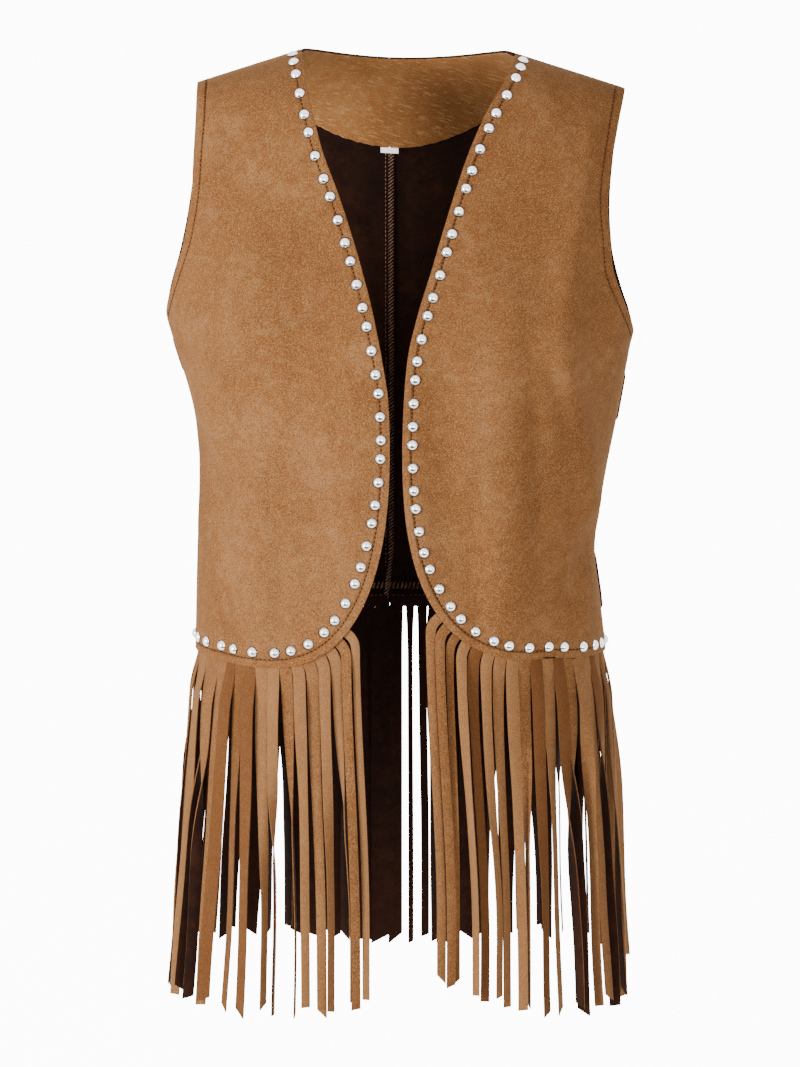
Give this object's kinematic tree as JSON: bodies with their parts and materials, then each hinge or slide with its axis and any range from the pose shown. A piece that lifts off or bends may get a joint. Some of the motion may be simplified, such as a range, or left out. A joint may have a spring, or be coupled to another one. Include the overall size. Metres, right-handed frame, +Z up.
{
  "type": "fringe vest",
  "caption": "open-front sleeveless vest in suede cloth, worn form with nobody in it, rounded lower fronts edged with domed studs, cut fringe hanging from the front and back hems",
  "frame": {"origin": "on the line between the neck ends of the two shoulder seams, where the wearer's shoulders hold the vest; z = 0 is the height of those seam ends and y = 0 the line of the side seams", "axes": "+X is the wearer's left, -Y the wearer's front, +Z up"},
  "size_m": [0.3542, 0.2335, 0.729],
  "materials": {
    "suede": "soft tan suede cloth with a short nap, dark brown on its wrong side",
    "suede_facing": "tan suede cloth, nap outward",
    "suede_fringe": "tan suede cloth cut in strips, dark brown on its wrong side",
    "stud_metal": "polished nickel domes",
    "label_cloth": "plain white ribbon, bare"
  },
  "bodies": {
    "root": {"front_right": "suede", "front_left": "suede", "back_right": "suede", "back_left": "suede", "neck_facing": "suede_facing", "neck_label": "label_cloth", "stud_row_right": "stud_metal", "stud_row_left": "stud_metal", "fringe_front_right": "suede_fringe", "fringe_front_left": "suede_fringe", "fringe_back_right": "suede_fringe", "fringe_back_left": "suede_fringe"}
  },
  "joints": []
}
